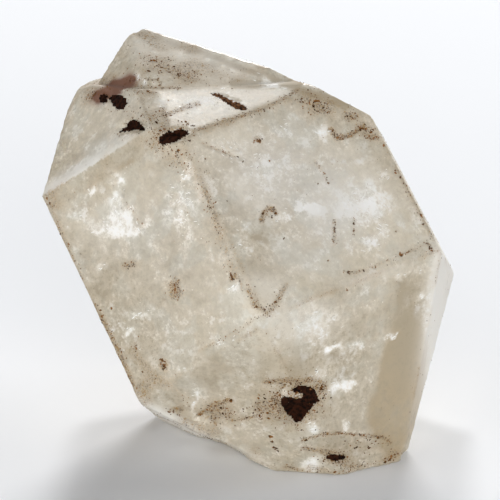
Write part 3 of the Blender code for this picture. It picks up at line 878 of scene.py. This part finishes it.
def the_stone():
    """The crystal itself, with its worn edges and fine relief. Gives its surface and a tree of its skin."""
    solid = welded_solid()
    hull = BVHTree.FromBMesh(solid)
    skin = fine_skin(solid, hull)
    surface = Surface(skin, great_faces(solid), hull)
    solid.free()
    for vertex, depth, normal in zip(skin.verts, relief(surface), surface.normals):
        vertex.co -= Vector(normal * depth)
    tree = BVHTree.FromBMesh(skin)
    piece = add_piece("stone", skin, clouded_quartz(), smooth=True)
    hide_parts("crystal")
    for name, values in markings(surface, tree).items():
        paint(piece.data, name, values)
    return surface, tree


def inside(outline, across, up):
    """Whether a place on the sheet is inside a closed outline."""
    odd = False
    for (x0, y0), (x1, y1) in zip(outline, outline[1:] + outline[:1]):
        if (y0 > up) != (y1 > up) and across < x0 + (up - y0) / (y1 - y0) * (x1 - x0):
            odd = not odd
    return odd


def crust(mesh, tree, outline, thick, seed):
    """A ragged crust with this outline, laid on the surface and rooted under it."""
    low = Vector((min(x for x, _ in outline), min(y for _, y in outline), 0.0))
    high = Vector((max(x for x, _ in outline), max(y for _, y in outline), 0.0))
    half = (high - low) / 2.0 + Vector((CRUST_CELL, CRUST_CELL, 0.0)) * 2.0
    bmesh.ops.create_grid(
        mesh, x_segments=int(2.0 * half.x / CRUST_CELL), y_segments=int(2.0 * half.y / CRUST_CELL), size=1.0,
        matrix=Matrix.Translation((low + high) / 2.0) @ Matrix.Diagonal((half.x, half.y, 1.0, 1.0)),
    )
    shift = Vector((seed, 0.0, 0.0))
    outside = []
    for vertex in mesh.verts:
        wander = noise.noise_vector(vertex.co * 2.2 + shift) * CRUST_WANDER
        wander += noise.noise_vector(vertex.co * 8.0 + shift) * CRUST_RAGGEDNESS
        if not inside(outline, vertex.co.x + wander.x, vertex.co.y + wander.y):
            outside.append(vertex)
    bmesh.ops.delete(mesh, geom=outside, context="VERTS")
    for vertex in mesh.verts:
        jitter = noise.noise_vector(vertex.co * 11.0) * CRUST_CELL * 0.5
        point, normal = seen_at(tree, vertex.co.x + jitter.x, vertex.co.y + jitter.y)
        lump = 0.35 + 0.65 * abs(noise.noise(vertex.co * 3.1 + Vector((0.0, seed, 0.0))))
        rim = CRUST_RIM if vertex.is_boundary else 1.0
        vertex.co = point + normal * thick * lump * rim
    grown = bmesh.ops.extrude_face_region(mesh, geom=mesh.faces, use_keep_orig=True)["geom"]
    roots = [v for v in grown if isinstance(v, bmesh.types.BMVert)]
    bmesh.ops.translate(mesh, verts=roots, vec=SIGHT * CRUST_ROOT)
    bmesh.ops.recalc_face_normals(mesh, faces=mesh.faces)


def gathered(rows, build, at_once=PIECES_AT_ONCE):
    """One mesh of many small pieces, made a few at a time."""
    whole = bmesh.new()
    for start in range(0, len(rows), at_once):
        part = bmesh.new()
        for row in rows[start:start + at_once]:
            build(part, *row)
        carrier = bpy.data.meshes.new("carrier")
        part.to_mesh(carrier)
        part.free()
        whole.from_mesh(carrier)
        bpy.data.meshes.remove(carrier)
    return whole


def the_crusts(tree, name, outlines, thick, material):
    rows = [(tree, outline, thick, number * CRUST_SEED_STEP) for number, outline in enumerate(outlines)]
    add_piece(name, gathered(rows, crust, 1), material)


def beside(x, y, aside, above, turn):
    """The place on the sheet this far aside and above of another, turned by this many degrees."""
    c, s = math.cos(math.radians(turn)), math.sin(math.radians(turn))
    return x + aside * c - above * s, y + aside * s + above * c


def crumb(mesh, point, normal, size, dice):
    """A small rough grain, half sunk in the surface."""
    upright = normal.to_track_quat("Z", "Y").to_matrix().to_4x4()
    turn = upright @ Matrix.Rotation(dice.uniform(0, ALL_ROUND), 4, "Z")
    length, width = size * dice.uniform(0.8, 1.5), size * dice.uniform(0.6, 1.0)
    stretch = Matrix.Diagonal((length, width, size * 0.5, 1.0))
    bmesh.ops.create_icosphere(
        mesh, subdivisions=1, radius=1.0, matrix=Matrix.Translation(point) @ turn @ stretch
    )


class Grains:
    """Where the stain's grains lie, as rows for crumb."""

    def __init__(self, surface, tree, dice):
        self.surface = surface
        self.tree = tree
        self.dice = dice
        self.rows = []

    def scatter(self, x, y, size):
        """One grain where the front view sees this place of the sheet, if the stone is there."""
        point, normal = seen_at(self.tree, x, y)
        if point and point.z > LOWEST and normal.dot(SIGHT) < -0.03:
            self.rows.append((point, normal, size, self.dice))

    def around(self, x, y, spread):
        """A random place on the sheet, about this far from another."""
        return x + self.dice.gauss(0.0, spread), y + self.dice.gauss(0.0, spread)

    def size(self, sizes, common, growth):
        """A size from this range, which grows by this share in all but the common part of the draws."""
        return self.dice.uniform(*sizes) * (1.0 + growth * (self.dice.random() > common))

    def along_lines(self):
        for points, width, strength in STAIN_LINES:
            for (x0, y0), (x1, y1) in zip(points, points[1:]):
                length = math.hypot(x1 - x0, y1 - y0)
                for _ in range(int(length * GRAINS_PER_MM * strength)):
                    t = self.dice.random()
                    x, y = self.around(x0 + (x1 - x0) * t, y0 + (y1 - y0) * t, width * 0.8)
                    self.scatter(x, y, self.size(LINE_GRAINS, 0.93, 0.8))

    def in_patches(self):
        for x, y, length, height, turn, strength in STAIN_PATCHES:
            for _ in range(int(length * height * GRAINS_PER_PATCH_AREA * strength) + 6):
                u, v = self.dice.gauss(0.0, 0.55) * length, self.dice.gauss(0.0, 0.55) * height
                self.scatter(*beside(x, y, u, v, turn), self.size(PATCH_GRAINS, 0.92, 0.7))

    def beside_crusts(self):
        for outline in CRUSTS:
            for x, y in outline:
                for _ in range(GRAINS_PER_CORNER):
                    self.scatter(*self.around(x, y, 0.28), self.dice.uniform(*CRUST_GRAINS))

    def in_dots(self):
        for x, y, size in DARK_DOTS:
            for _ in range(GRAINS_PER_DOT):
                self.scatter(*self.around(x, y, size * 0.4), size * self.dice.uniform(0.5, 0.8))

    def over(self, candidates, frequency, shift, threshold, sizes):
        """Grains on places of the skin drawn from these, where a noise is above the threshold."""
        for index in self.dice.sample(list(candidates), SKIN_GRAINS):
            place = Vector(self.surface.places[index])
            if noise.noise(place * frequency + shift) > threshold:
                normal = Vector(self.surface.normals[index])
                self.rows.append((place, normal, self.dice.uniform(*sizes), self.dice))

    def everywhere(self):
        """The rows of all grains."""
        self.along_lines()
        self.in_patches()
        self.beside_crusts()
        self.in_dots()
        height = self.surface.places[:, 2]
        on_edges = np.flatnonzero((self.surface.edge < 0.35) & (height > 0.3))
        self.over(on_edges, 0.55, Vector((0.0, 0.0, 0.0)), -0.05, EDGE_GRAINS)
        self.over(np.flatnonzero(height > LOWEST), 0.3, Vector((9.0, 0.0, 0.0)), 0.05, OTHER_GRAINS)
        return self.rows


def flake_rows(tree, dice):
    """Where the small white cracks lie, just under the front in its clouds."""
    rows = []
    for x, y, length, height, turn, strength in CLOUDS:
        lie = turn if abs(length - height) > 0.1 else ROUND_CLOUD_LIE
        for _ in range(int(length * height * FLAKES_PER_CLOUD_AREA * strength) + 10):
            u, v = dice.gauss(0.0, 0.5) * length, dice.gauss(0.0, 0.5) * height
            point, normal = seen_at(tree, *beside(x, y, u, v, turn))
            if point and point.z > LOWEST_FLAKE:
                depth = 0.0 if dice.random() < FLAKES_ON_TOP else dice.uniform(*FLAKE_DEPTHS)
                rows.append((point - normal * depth, normal, lie, dice))
    return rows


def flake(mesh, point, normal, turn, dice):
    """A thin crack that shines white, lying along the front at about this turn."""
    size = dice.uniform(*FLAKE_SIZES)
    lie = math.radians(turn + dice.gauss(0.0, 14.0))
    along = ACROSS * math.cos(lie) + RISE * math.sin(lie)
    along = (along - normal * along.dot(normal)).normalized()
    flat = Matrix((along, normal.cross(along), normal)).transposed().to_4x4()
    length, width = size * dice.uniform(0.8, 2.6), size * dice.uniform(0.2, 0.5)
    stretch = Matrix.Diagonal((length, width, size * 0.12, 1.0))
    bmesh.ops.create_icosphere(
        mesh, subdivisions=1, radius=1.0, matrix=Matrix.Translation(point) @ flat @ stretch
    )


def area_light(name, place, size, power):
    light = bpy.data.lights.new(name, "AREA")
    light.shape = "DISK"
    light.size = size
    light.energy = power
    holder = bpy.data.objects.new(name, light)
    bpy.context.scene.collection.objects.link(holder)
    holder.location = place
    holder.rotation_euler = (MIDDLE * MM - Vector(place)).to_track_quat("-Z", "Y").to_euler()


def the_floor():
    mesh = bmesh.new()
    bmesh.ops.create_grid(mesh, x_segments=1, y_segments=1, size=FLOOR_HALF)
    data = bpy.data.meshes.new("floor")
    mesh.to_mesh(data)
    mesh.free()
    r = Recipe("pale_floor")
    paper = {"Base Color": FLOOR_COLOUR, "Roughness": 1.0, "Specular IOR Level": 0.0}
    data.materials.append(r.finish(r.add("BsdfPrincipled", {}, paper)))
    floor = bpy.data.objects.new("floor", data)
    bpy.context.scene.collection.objects.link(floor)


def the_studio():
    for name, place, size, power in LIGHTS:
        area_light(name, place, size, power)
    world = bpy.data.worlds.new("studio")
    world.use_nodes = True
    background = world.node_tree.nodes["Background"]
    background.inputs["Color"].default_value = ROOM_COLOUR
    background.inputs["Strength"].default_value = ROOM_LIGHT
    bpy.context.scene.world = world
    bpy.context.scene.view_settings.view_transform = "Standard"


def the_camera():
    data = bpy.data.cameras.new("front")
    data.sensor_width = SENSOR
    data.lens = SENSOR * VIEW_DISTANCE / VIEW_WIDTH
    data.clip_start = CLIP_START
    camera = bpy.data.objects.new("front", data)
    bpy.context.scene.collection.objects.link(camera)
    camera.location = EYE * MM
    camera.rotation_euler = SIGHT.to_track_quat("-Z", "Y").to_euler()
    bpy.context.scene.camera = camera


def main():
    # Without a seed, noise_vector starts from the clock and the crusts change from run to run
    noise.seed_set(11)
    dice = random.Random(11)
    the_floor()
    the_studio()
    the_camera()
    surface, tree = the_stone()
    black = plain_material("dark_crust", linear(52, 27, 16), linear(16, 9, 6), 0.9, 3.5, 0.05)
    slit = plain_material("slit_crust", linear(120, 80, 48), linear(24, 13, 8), 0.9, 5.0, 0.05)
    brown = plain_material("stain_grain", linear(140, 98, 58), linear(56, 36, 20), 0.9, 2.5, 0.05)
    white = plain_material("white_flaw", linear(252, 252, 250), linear(240, 239, 235), 0.3, 5.0, 0.5)
    the_crusts(tree, "slit_crust", SLIT_FILL, SLIT_CRUST_THICKNESS, slit)
    the_crusts(tree, "pit_crust", CRUSTS, PIT_CRUST_THICKNESS, black)
    add_piece("stain_grains", gathered(Grains(surface, tree, dice).everywhere(), crumb), brown)
    add_piece("white_flaws", gathered(flake_rows(tree, dice), flake), white)


main()
